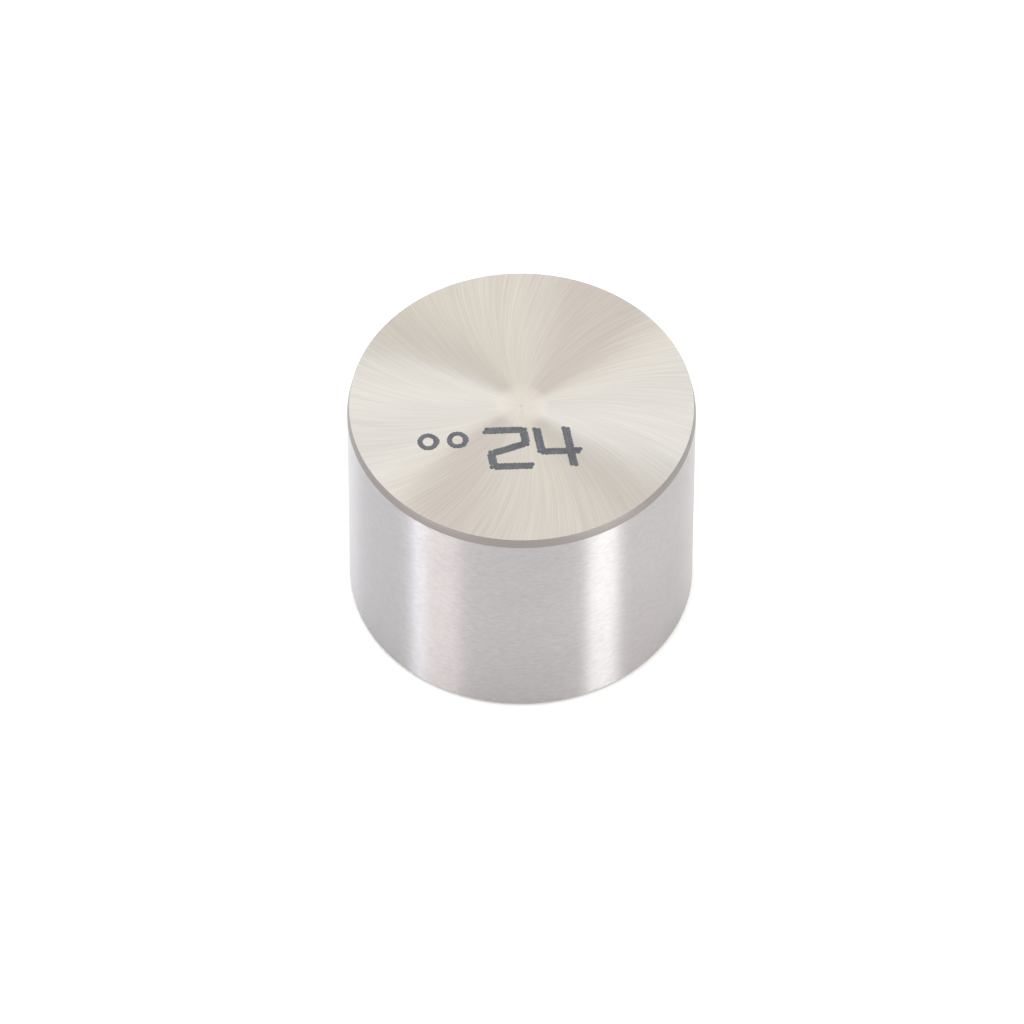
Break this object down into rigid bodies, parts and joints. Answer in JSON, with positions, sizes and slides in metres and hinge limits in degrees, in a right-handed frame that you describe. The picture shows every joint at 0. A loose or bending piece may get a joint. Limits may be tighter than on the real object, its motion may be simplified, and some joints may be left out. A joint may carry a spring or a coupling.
{
  "type": "bucket tappet",
  "caption": "Solid bucket tappet: a ground steel cup, closed by a flat crown for the cam lobe and open below, with a raised stem pad inside.",
  "frame": {"origin": "centre of the skirt's open end, in the plane that it stands on", "axes": "+Z along the tappet's axis, from the open end up through the crown"},
  "size_m": [0.031, 0.031, 0.0235],
  "materials": {
    "ground_steel": "ground and hardened"
  },
  "bodies": {
    "root": {"tappet_body": "ground_steel"}
  },
  "joints": []
}
